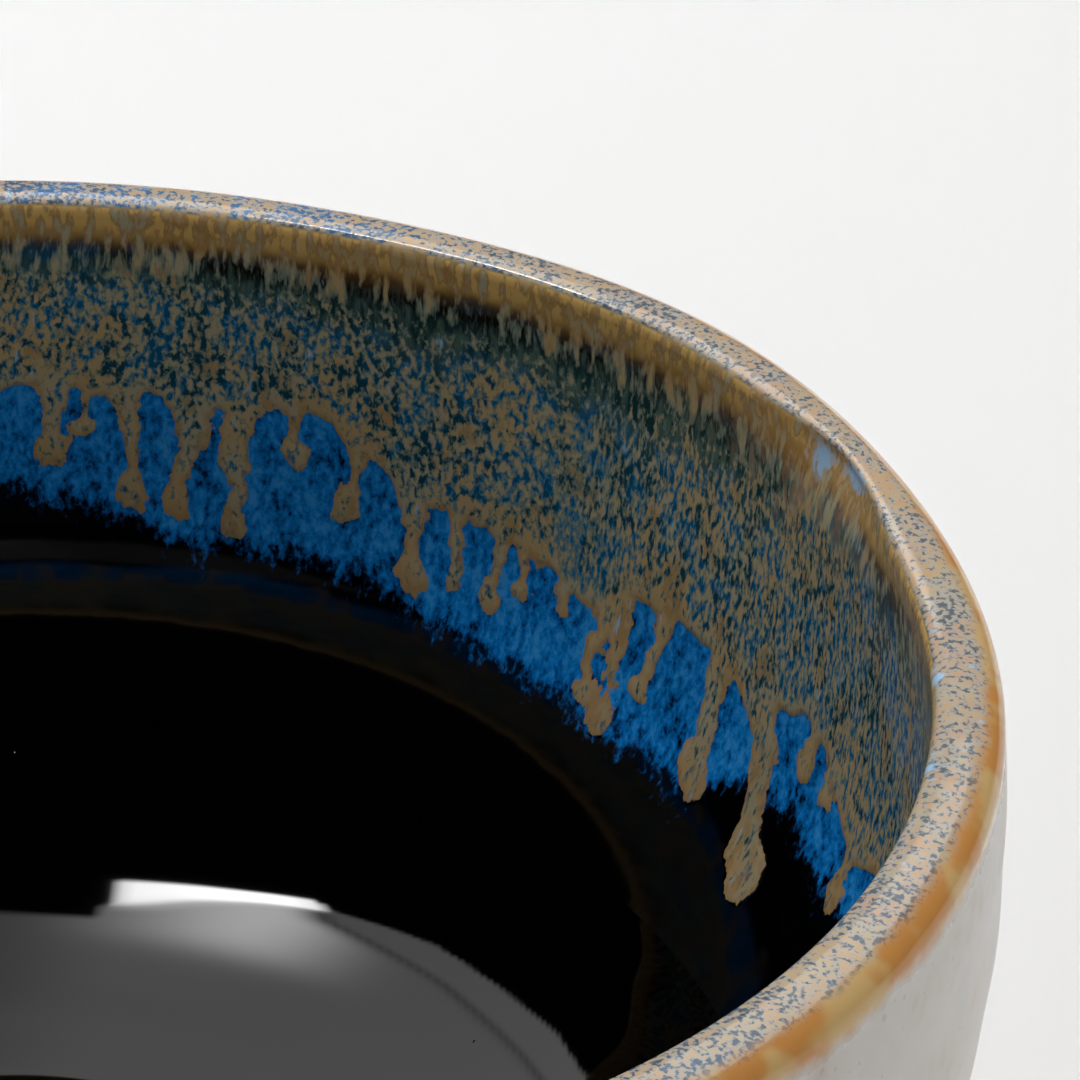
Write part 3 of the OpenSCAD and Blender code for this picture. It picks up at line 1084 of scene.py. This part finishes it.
@dataclass(frozen=True)
class Sweep:
    """A mesh swept round the bowl: a fine front, and a coarse back that closes it."""

    shape: BowlShape
    columns: int

    def azimuths(self) -> Array:
        """Returns the columns' azimuths in degrees."""
        return np.arange(self.columns) * (360.0 / self.columns)

    def mesh(
        self,
        name: str,
        front: Array,
        back: Array,
        fields: Mapping[Field, Array],
        finish: bpy.types.Material,
        poles: Optional[tuple[Sequence[float], Sequence[float]]] = None,
    ) -> bpy.types.Object:
        """Makes the object from rows of points.

        Rows run in the order of rising station on the front and falling station on the back, so that the quad
        (row, column), (row, column + 1), (row + 1, column + 1), (row + 1, column) faces out of the clay.

        Args:
            name: The piece's name.
            front: Points in mm, shape (rows, columns, 3).
            back: Points in mm of the hidden side, in the same form.
            fields: Numbers or vectors for the front's points; the back repeats its nearest front row.
            finish: The piece's material.
            poles: Where given, the front's first point and the back's last point on the axis, in mm. The
                sweep is then closed by two fans and not into a loop.

        Returns:
            The object, smooth-shaded, with sharp borders between front and back.
        """
        rows = len(front) + len(back)
        n = self.columns
        points = np.concatenate([front, back]).reshape(-1, 3)
        index = np.arange(rows * n).reshape(rows, n)
        beside = np.roll(index, -1, axis=1)
        here = slice(None) if poles is None else slice(0, rows - 1)
        above = np.roll(index, -1, axis=0)
        above_beside = np.roll(beside, -1, axis=0)
        quads = np.stack([index[here], beside[here], above_beside[here], above[here]], axis=-1).reshape(-1, 4)
        faces = quads.tolist()
        if poles is not None:
            first = len(points)
            points = np.concatenate([points, np.array(poles, dtype=float)])
            faces += np.stack([np.full(n, first), beside[0], index[0]], axis=-1).tolist()
            faces += np.stack([np.full(n, first + 1), index[-1], beside[-1]], axis=-1).tolist()
        mesh = bpy.data.meshes.new(name)
        mesh.from_pydata((points * MM).tolist(), [], faces)
        mesh.polygons.foreach_set("use_smooth", np.ones(len(mesh.polygons), dtype=bool))
        self._sharpen(mesh, [len(front) - 1] + ([0] if poles is None else []))
        for field, values in fields.items():
            self._store(mesh, field, values, rows, len(points))
        mesh.materials.append(finish)
        mesh.validate()
        return put(name, mesh)

    def _sharpen(self, mesh: bpy.types.Mesh, border_rows: Sequence[int]) -> None:
        """Marks the edges that run along the front's border rows as sharp.

        Args:
            mesh: The swept mesh.
            border_rows: Numbers of the rows.
        """
        ends = np.empty(len(mesh.edges) * 2, dtype=np.int32)
        mesh.edges.foreach_get("vertices", ends)
        row = ends.reshape(-1, 2) // self.columns
        sharp = (row[:, 0] == row[:, 1]) & np.isin(row[:, 0], border_rows)
        mesh.edges.foreach_set("use_edge_sharp", sharp)

    def _store(self, mesh: bpy.types.Mesh, field: Field, values: Array, rows: int, count: int) -> None:
        """Stores a field on the vertices; rows past the front repeat the front's rows from last to first.

        Args:
            mesh: The swept mesh.
            field: The field.
            values: Its values at the front's points.
            rows: Rows of the whole sweep.
            count: Vertices of the mesh, with any poles.
        """
        width = 3 if field is Field.FLOW else 1
        front = np.asarray(values, dtype=np.float32).reshape(-1, self.columns, width)
        extra = rows - len(front)
        pick = np.linspace(len(front) - 1, 0, extra).round().astype(int)
        full = np.concatenate([front, front[pick]]).reshape(-1, width)
        full = np.concatenate([full, full[: count - len(full)]])
        store(mesh, field.value, full if width == 3 else full.ravel())


@dataclass(frozen=True)
class Coat:
    """What the glaze coats share: the shape, the pattern and how coordinates for the finishes are made."""

    shape: BowlShape
    pattern: RunPattern = RunPattern()
    total: float = 0.6
    tan_rise: float = 0.16
    run_stretch: float = 0.62
    stretch_over: float = 5.0
    fine_at: float = 85.0
    fine_width: float = 48.0
    shown_at: float = 30.0
    shown_width: float = 60.0

    def flow(self, azimuth: Array, run: Array) -> Array:
        """Returns the coordinates that patterns follow: round the bowl at one radius, and along the run.

        Along the run, a millimetre counts fully on the rim and shrinks to run_stretch over the first
        stretch_over millimetres of the inside, so that flecks hang down the wall.

        Args:
            azimuth: Degrees.
            run: Run coordinate in mm.

        Returns:
            Vectors in mm.
        """
        t = np.clip(run / self.stretch_over, 0.0, 1.0)
        eased = self.stretch_over * (t**3 - t**4 / 2) + np.clip(run - self.stretch_over, 0.0, None)
        return turned(self.pattern.radius, azimuth, run - (1 - self.run_stretch) * eased)

    def fineness(self, azimuth: Array) -> Array:
        """Returns 1 where the flecks are fine and streaked, beside the lip, and less elsewhere.

        Args:
            azimuth: Degrees.

        Returns:
            Values from 0 to 1.
        """
        drift = Grain(60.0, 41, self.pattern.around).at(self.pattern.along(azimuth), 0 * azimuth)
        away = 1 - bell(wrap(azimuth - self.shown_at), self.shown_width)
        beside = bell(wrap(azimuth - self.fine_at), self.fine_width)
        return np.clip(beside + 0.15 + 0.3 * drift * away, 0.0, 1.0)

    def fields(self, azimuth: Array, run: Array, depth: Array) -> dict[Field, Array]:
        """Returns every field of a coat at a grid of azimuths and run coordinates.

        Args:
            azimuth: Degrees, as one row.
            run: Run coordinates in mm, as one column.
            depth: Depths in mm, as one column.

        Returns:
            The values of each field.
        """
        grid = np.broadcast_arrays(azimuth, run)
        return {
            Field.FLOW: self.flow(azimuth, run),
            Field.RUN: grid[1],
            Field.EDGE: self.pattern.inside(*np.broadcast_arrays(azimuth, depth)),
            Field.FADE: self.pattern.above_black(*np.broadcast_arrays(azimuth, depth)),
            Field.POOL: pools().at(azimuth, run),
            Field.CLOUD: LIP_CLOUDS.at(azimuth, run),
            Field.SWEEP: FOLD_SWEEP.at(azimuth, run),
            Field.FINE: np.broadcast_arrays(self.fineness(azimuth), run)[0],
        }

    def back(self, azimuth: Array, runs: tuple[float, float], rows: int) -> Array:
        """Returns rows of points on the coats' hidden side, from the first run coordinate to the second."""
        run = np.linspace(runs[0], runs[1], rows)[:, None]
        return self.shape.place(self.shape.station(run), azimuth, np.full((1, 1), self.total))

    def rise(self, edge: Array) -> Array:
        """Returns how far the tan coat stands above the blue: a rounded step across its edge."""
        return self.tan_rise * np.tanh(edge / 0.6)

    def skin(
        self,
        name: str,
        runs: tuple[float, float],
        size: tuple[int, int],
        finish: bpy.types.Material,
        tan: bool = False,
        back_rows: int = 6,
    ) -> bpy.types.Object:
        """Makes one closed coat between two run coordinates.

        Args:
            name: The piece's name.
            runs: The lower and the upper end, the larger run coordinate first.
            size: Rows and columns of the front.
            finish: The material.
            tan: Whether the front stands proud as the tan coat does.
            back_rows: Rows of the hidden side.

        Returns:
            The object.
        """
        sweep = Sweep(self.shape, size[1])
        azimuth = sweep.azimuths()[None, :]
        run = np.linspace(runs[0], runs[1], size[0])[:, None]
        u = self.shape.station(run)
        depth = self.shape.outline(u)[1]
        fields = self.fields(azimuth, run, depth)
        inset = self.tan_rise * np.ones_like(fields[Field.EDGE])
        if tan:
            inset = inset - self.rise(fields[Field.EDGE])
        front = self.shape.place(u, azimuth, inset)
        return sweep.mesh(name, front, self.back(azimuth, (runs[1], runs[0]), back_rows), fields, finish)


class Part:
    """One sub-assembly: build() makes its pieces and hides the CAD nodes they stand for."""

    nodes: tuple[str, ...] = ()
    slot: str = ""

    def pieces(self) -> list[bpy.types.Object]:
        """Returns the finished pieces."""
        raise NotImplementedError

    def build(self) -> None:
        """Makes the pieces, lets them stand for their CAD nodes and reports each."""
        for piece in self.pieces():
            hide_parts(*self.nodes)
            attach(piece, "root")
            LOG.info("%s: %d faces, stands for %s", piece.name, len(piece.data.polygons), ", ".join(self.nodes))


@dataclass
class TanCoat(Part):
    """The tan coat: a roll over the rim, and a curtain down the inside that ends in runs."""

    coat: Coat
    rim_end: float = 7.5
    curtain_end_depth: float = 42.0
    rim_rows: int = 96
    curtain_rows: int = 96
    columns: int = 960
    nodes = ("rim_glaze", "glaze_runs")
    slot = "tan_glaze"

    def pieces(self) -> list[bpy.types.Object]:
        """Returns the roll and the curtain, which meet edge to edge.

        Returns:
            The roll, then the curtain.
        """
        shape = self.coat.shape
        finish = TanFinish(BlueFinish(), PaleFinish()).material("tan_glaze")
        low = shape.run_at_depth(self.curtain_end_depth)
        curtain = self.coat.skin(
            "tan_curtain", (low, self.rim_end), (self.curtain_rows, self.columns), finish, tan=True
        )
        top = shape.run_at_station(RIM_END_STATION)
        roll = self.coat.skin("rim_roll", (self.rim_end, top), (self.rim_rows, self.columns), finish, tan=True)
        return [roll, curtain]


@dataclass
class BlueCoat(Part):
    """The blue coat that shows between the runs and below them."""

    coat: Coat
    top_run: float = 11.0
    end_depth: float = 41.0
    rows: int = 64
    columns: int = 480
    nodes = ("blue_glaze",)
    slot = "blue_glaze"

    def pieces(self) -> list[bpy.types.Object]:
        """Returns the band.

        Returns:
            The band alone.
        """
        low = self.coat.shape.run_at_depth(self.end_depth)
        finish = BlueFinish().material("blue_glaze")
        return [self.coat.skin("blue_band", (low, self.top_run), (self.rows, self.columns), finish)]


@dataclass
class LinerCoat(Part):
    """The black liner on the lower wall and the floor, with faint throwing rings."""

    coat: Coat
    top_depth: float = 41.0
    rows: int = 120
    back_rows: int = 30
    columns: int = 480
    ring_height: float = 0.012
    ring_spacing: float = 6.5
    calm_top: float = 4.0
    calm_middle: tuple[float, float] = (6.0, 1.0)
    nodes = ("liner_glaze",)
    slot = "black_glaze"

    def pieces(self) -> list[bpy.types.Object]:
        """Returns the liner: rows from near the axis up to the blue band, with sine rings pressed into them.

        Returns:
            The liner alone.
        """
        shape, coat = self.coat.shape, self.coat
        sweep = Sweep(shape, self.columns)
        azimuth = sweep.azimuths()[None, :]
        top = shape.run_at_depth(self.top_depth)
        centre = shape.run_at_station(0.0)
        run = np.linspace(centre, top, self.rows + 1)[1:, None]
        u = shape.station(run)
        calm = ease(run, top, top + self.calm_top)
        calm = calm * (1 - ease(run, centre - self.calm_middle[0], centre - self.calm_middle[1]))
        turns = 2 * np.pi * run / self.ring_spacing + 0.6 * np.sin(np.radians(azimuth))
        rings = self.ring_height * np.sin(turns)
        inset = coat.tan_rise + rings * calm
        front = shape.place(u, azimuth, inset)
        back = coat.back(azimuth, (top, centre), self.back_rows + 1)[:-1]
        floor = shape.height - shape.inner_depth
        poles = ((0.0, 0.0, floor - coat.tan_rise), (0.0, 0.0, floor - coat.total))
        finish = LinerFinish().material("black_glaze")
        return [sweep.mesh("black_liner", front, back, {}, finish, poles)]


@dataclass
class OuterCoat(Part):
    """The pale coat on the outside."""

    coat: Coat
    rows: int = 120
    back_rows: int = 12
    columns: int = 480
    ring_height: float = 0.06
    ring_pitch: float = 1.3
    calm_over: float = 6.0
    end_sink: float = 0.45
    end_over: float = 0.9
    nodes = ("outer_glaze",)
    slot = "pale_glaze"

    def pieces(self) -> list[bpy.types.Object]:
        """Returns the coat, with faint throwing rings and a rounded lower edge.

        Returns:
            The coat alone.
        """
        shape, coat = self.coat.shape, self.coat
        sweep = Sweep(shape, self.columns)
        azimuth = sweep.azimuths()[None, :]
        top, low = shape.run_at_station(RIM_END_STATION), shape.run_at_station(GLAZE_END_STATION)
        run = np.linspace(top, low, self.rows)[:, None]
        u = shape.station(run)
        turns = run / self.ring_pitch + 0.8 * np.sin(np.radians(azimuth + 40))
        rings = self.ring_height + self.ring_height * np.sin(turns)
        calm = ease(-run, -top, -top + self.calm_over)
        edge = self.end_sink * (1 - ease(run, low, low + self.end_over))
        front = shape.place(u, azimuth, rings * calm + edge)
        back = coat.back(azimuth, (low, top), self.back_rows)
        fields = {
            Field.FLOW: coat.flow(azimuth, run),
            Field.RUN: np.broadcast_arrays(run, azimuth)[0],
        }
        finish = PaleFinish(foot_run=low).material("pale_glaze")
        return [sweep.mesh("outer_glaze_coat", front, back, fields, finish)]


@dataclass
class ClayBody(Part):
    """The thrown clay wall and floor, seen bare between the outer coat and the foot ring."""

    coat: Coat
    rows: int = 240
    columns: int = 288
    bare_from: float = 4.85
    nodes = ("stoneware_body",)
    slot = "stoneware"

    def pieces(self) -> list[bpy.types.Object]:
        """Returns the clay: the bowl's outline set in by the coats' thickness, closed flat over the foot.

        Returns:
            The clay alone.
        """
        shape, coat = self.coat.shape, self.coat
        sweep = Sweep(shape, self.columns)
        azimuth = sweep.azimuths()[None, :]
        first, last = shape.run_at_station(0.0), shape.run_at_station(LAST_STATION)
        run = np.linspace(first, last, self.rows + 1)[1:, None]
        u = shape.station(run)
        inset = coat.total * (1 - ease(u, self.bare_from, LAST_STATION))
        front = shape.place(u, azimuth, inset)
        ring = front[-1:, :, :] * np.array([0.5, 0.5, 1.0])
        floor = shape.height - shape.inner_depth - coat.total
        poles = ((0.0, 0.0, floor), (0.0, 0.0, shape.foot_height))
        finish = ClayFinish().material("fired_clay")
        return [sweep.mesh("clay_wall", front, ring, {}, finish, poles)]


@dataclass
class FootRing(Part):
    """The turned ring on which the bowl stands."""

    shape: BowlShape
    width: float = 6.5
    taper: float = 1.3
    edge_round: float = 0.8
    outer_lead: float = 0.18
    inner_lead: float = 0.1
    columns: int = 288
    nodes = ("foot_ring",)
    slot = "stoneware"

    def profile(self) -> Array:
        """Returns (radius, height) round the section, with both lower corners rounded by quarter circles.

        Returns:
            Points in mm, down the outside and up the inside.
        """
        outer, inner = self.shape.foot_radius, self.shape.foot_radius - self.width
        e, top = self.edge_round, self.shape.foot_height
        t = np.radians(np.linspace(0, 90, 9))
        low_out, low_in = outer - self.taper, inner + self.taper
        start_out, end_in = low_out + self.outer_lead, low_in - self.inner_lead
        outside = np.stack([np.linspace(outer, start_out, 14), np.linspace(top, e, 14)], axis=-1)
        corner_out = np.stack([low_out - e + e * np.cos(t), e - e * np.sin(t)], axis=-1)
        flat = np.stack([np.linspace(low_out - e, low_in + e, 6)[1:-1], np.zeros(4)], axis=-1)
        corner_in = np.stack([low_in + e - e * np.sin(t), e - e * np.cos(t)], axis=-1)
        inside = np.stack([np.linspace(end_in, inner, 14), np.linspace(e, top, 14)], axis=-1)
        return np.concatenate([outside[:-1], corner_out, flat, corner_in, inside[1:]])

    def pieces(self) -> list[bpy.types.Object]:
        """Returns the ring: the profile turned about the axis.

        Returns:
            The ring alone.
        """
        sweep = Sweep(self.shape, self.columns)
        section = self.profile()
        points = turned(section[:, :1], sweep.azimuths()[None, :], section[:, 1:])
        finish = ClayFinish().material("foot_clay")
        return [sweep.mesh("turned_foot", points, points[:0], {}, finish)]


@dataclass
class BaseGlaze(Part):
    """The thin glazed disc inside the foot ring."""

    shape: BowlShape
    thickness: float = 0.3
    edge_round: float = 0.9
    edge_share: float = 0.9
    centre_run: float = -100.0
    rows: int = 48
    columns: int = 192
    nodes = ("base_glaze",)
    slot = "pale_glaze"

    def pieces(self) -> list[bpy.types.Object]:
        """Returns the disc: a shallow dome of glaze whose edge rounds off, hanging under the base.

        Returns:
            The disc alone.
        """
        sweep = Sweep(self.shape, self.columns)
        radius = (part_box("base_glaze")[1][0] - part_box("base_glaze")[0][0]) / 2 / MM
        azimuth = sweep.azimuths()[None, :]
        top = self.shape.foot_height
        r = np.linspace(0.0, 1.0, self.rows + 1)[1:, None] * radius
        hang = self.thickness * (1 - ease(r, radius - self.edge_round, radius) * self.edge_share)
        under = turned(r, azimuth, top - hang)
        above = turned(np.array([[radius], [radius / 2]]), azimuth, np.array([[top]]))
        run = self.centre_run - r + 0 * azimuth
        fields = {Field.FLOW: turned(r, azimuth, run)[:, ::-1], Field.RUN: run}
        finish = PaleFinish(foot_run=self.centre_run - radius).material("base_glaze")
        poles = ((0.0, 0.0, top - self.thickness), (0.0, 0.0, top))
        return [sweep.mesh("base_glaze_disc", under[:, ::-1], above[:, ::-1], fields, finish, poles)]


@dataclass(frozen=True)
class Softbox:
    """A wide overhead softbox with a lamp glow and a bright tube behind its front edge.

    The bowl's gloss mirrors it. Places are in plan, in mm from the bowl's axis.
    """

    above_rim: float = 600.0
    across: tuple[float, float] = (-760.0, 420.0)
    back: float = 860.0
    front: tuple[tuple[float, float], ...] = (
        (-760, 640), (-628, 450), (-590, 360), (-520, 265), (-458, 190), (-400, 125), (-340, 92), (-268, 64),
        (-262, 40), (-84, 40), (-70, 92), (420, 92),
    )
    evenly: float = 2.6
    glow: float = 13.0
    glow_at: tuple[float, float] = (-195.0, 95.0)
    glow_size: tuple[float, float] = (95.0, 70.0)
    tube: float = 34.0
    seam: tuple[tuple[float, float], ...] = (
        (100, -264), (172, -331), (219, -374), (295, -419), (390, -475), (860, -700),
    )
    seam_width: float = 10.0
    tube_across: tuple[float, float] = (-264.0, -84.0)
    tube_along: tuple[float, float] = (44.0, 74.0)
    tube_soft: float = 5.0
    front_soft: float = 8.0
    glow_past_seam: float = 50.0
    seam_offset: float = 8.0
    seam_dim: float = 0.5
    right_dim: float = 0.35
    right_dim_across: tuple[float, float] = (-90.0, 0.0)
    grid: tuple[int, int] = (120, 70)
    grid_start: float = 0.18

    def radiance(self, x: Array, y: Array) -> Array:
        """Returns how bright the panel is: even light, a Gaussian glow, a seam and a tube, cut at the front.

        Args:
            x: Across, in mm.
            y: Away from the camera, in mm.

        Returns:
            The radiance at each place.
        """
        edge = np.array(self.front)
        inside = ease(y - np.interp(x, edge[:, 0], edge[:, 1]), 0.0, self.front_soft)
        glow = self.glow * bell(x - self.glow_at[0], self.glow_size[0])
        glow = glow * bell(np.clip(y - self.glow_at[1], 0, None), self.glow_size[1])
        tube = window(x, self.tube_across, self.tube_soft) * window(y, self.tube_along, self.tube_soft)
        seam = np.array(self.seam)
        past = x - np.interp(y, seam[:, 0], seam[:, 1])
        glow = glow * ease(past, 0.0, self.glow_past_seam)
        dim = 1 - self.right_dim * ease(x, *self.right_dim_across)
        dim = dim * (1 - self.seam_dim * bell(past - self.seam_offset, self.seam_width))
        return inside * ((self.evenly + glow) * dim + self.tube * tube)

    def build(self, rim_height: float) -> None:
        """Hangs the panel: a flat grid that carries its radiance as a number on each vertex.

        Args:
            rim_height: Height of the bowl's rim, in mm.
        """
        deep = self.back * np.linspace(self.grid_start, 1.0, self.grid[1]) ** 2
        x, y = np.meshgrid(np.linspace(*self.across, self.grid[0]), deep)
        points = np.stack([x, y, np.full_like(x, rim_height + self.above_rim)], axis=-1).reshape(-1, 3)
        index = np.arange(x.size).reshape(x.shape)
        quads = np.stack([index[:-1, :-1], index[1:, :-1], index[1:, 1:], index[:-1, 1:]], axis=-1)
        mesh = bpy.data.meshes.new("softbox")
        mesh.from_pydata((points * MM).tolist(), [], quads.reshape(-1, 4).tolist())
        store(mesh, Field.RADIANCE.value, self.radiance(x, y).ravel())
        graph = Graph("softbox_light")
        shader = graph.node("ShaderNodeEmission", None, {"Strength": graph.attribute(Field.RADIANCE)})
        output = graph.node("ShaderNodeOutputMaterial")
        graph.tree.links.new(shader.outputs[0], output.inputs[0])
        mesh.materials.append(graph.material)
        put("softbox", mesh)


@dataclass
class Studio:
    """Pale floor, soft light and the camera."""

    shape: BowlShape
    floor_size: float = 6.0
    fill: float = 0.44
    lens: float = 150.0
    sensor: float = 36.0
    target: tuple[float, float] = (31.8, 14.3)
    distance: float = 291.0
    elevation: float = 32.43
    roll: float = 5.16
    white: Colour = (0.81, 0.81, 0.81)
    card_place: tuple[float, float, float] = (0.9, -0.15, 0.3)
    card_size: float = 0.5
    card_radiance: float = 0.9
    card_colour: Colour = (1.0, 0.93, 0.84)

    def build(self) -> None:
        """Makes the floor, the sky, the softbox and the camera."""
        self._floor()
        self._sky()
        self._camera()
        Softbox().build(self.shape.height)
        self._side_light()

    def _floor(self) -> None:
        """Lays a wide pale floor at the foot's resting plane."""
        half = self.floor_size / 2
        mesh = bpy.data.meshes.new("studio_floor")
        corners = [(-half, -half, 0.0), (half, -half, 0.0), (half, half, 0.0), (-half, half, 0.0)]
        mesh.from_pydata(corners, [], [(0, 1, 2, 3)])
        graph = Graph("studio_white")
        mesh.materials.append(graph.surface({"Base Color": self.white, "Roughness": 0.9}))
        put("studio_floor", mesh)

    def _sky(self) -> None:
        """Gives the room a white look to the camera and a soft fill, and the gloss nothing to mirror."""
        world = bpy.data.worlds.new("studio_air")
        bpy.context.scene.world = world
        world.use_nodes = True
        nodes, links = world.node_tree.nodes, world.node_tree.links
        nodes.clear()
        path = nodes.new("ShaderNodeLightPath")
        fill, seen = nodes.new("ShaderNodeBackground"), nodes.new("ShaderNodeBackground")
        fill.inputs["Color"].default_value = (1.0, 1.0, 1.0, 1.0)
        fill.inputs["Strength"].default_value = self.fill
        seen.inputs["Color"].default_value = (0.9, 0.9, 0.9, 1.0)
        mix, out = nodes.new("ShaderNodeMixShader"), nodes.new("ShaderNodeOutputWorld")
        links.new(path.outputs["Is Camera Ray"], mix.inputs[0])
        links.new(fill.outputs[0], mix.inputs[1])
        links.new(seen.outputs[0], mix.inputs[2])
        links.new(mix.outputs[0], out.inputs["Surface"])
        world.cycles_visibility.glossy = False

    def _side_light(self) -> None:
        """Hangs a faint warm card on the lip's side, which the gloss doesn't mirror."""
        data = bpy.data.lights.new("side_card", "AREA")
        data.shape = "RECTANGLE"
        data.size, data.size_y = self.card_size, self.card_size
        data.energy = self.card_radiance * math.pi * self.card_size**2
        data.color = self.card_colour
        light = put("side_card", data)
        light.location = Vector(self.card_place)
        light.rotation_euler = (-light.location).to_track_quat("-Z", "Y").to_euler()
        light.visible_glossy = False

    def _camera(self) -> None:
        """Sets the camera close over the near rim, looking along +Y and down into the bowl."""
        data = bpy.data.cameras.new("camera")
        data.lens, data.sensor_width = self.lens, self.sensor
        data.clip_start, data.clip_end = 0.01, 20.0
        camera = put("camera", data)
        tilt = math.radians(self.elevation)
        target = Vector((*self.target, self.shape.height)) * MM
        forward = Vector((0.0, math.cos(tilt), -math.sin(tilt)))
        turn = Matrix.Rotation(math.radians(90.0) - tilt, 3, "X")
        turn = turn @ Matrix.Rotation(math.radians(self.roll), 3, "Z")
        camera.matrix_world = Matrix.Translation(target - forward * self.distance * MM) @ turn.to_4x4()
        bpy.context.scene.camera = camera


def main() -> None:
    """Builds the studio and every part of the bowl, in order."""
    logging.basicConfig(level=logging.INFO, format="%(name)s: %(message)s")
    bpy.context.scene.view_settings.view_transform = "Standard"
    shape = BowlShape.from_frame()
    coat = Coat(shape)
    Studio(shape).build()
    for part in (
        ClayBody(coat),
        FootRing(shape),
        LinerCoat(coat),
        BlueCoat(coat),
        TanCoat(coat),
        OuterCoat(coat),
        BaseGlaze(shape),
    ):
        part.build()


if __name__ == "__main__":
    main()
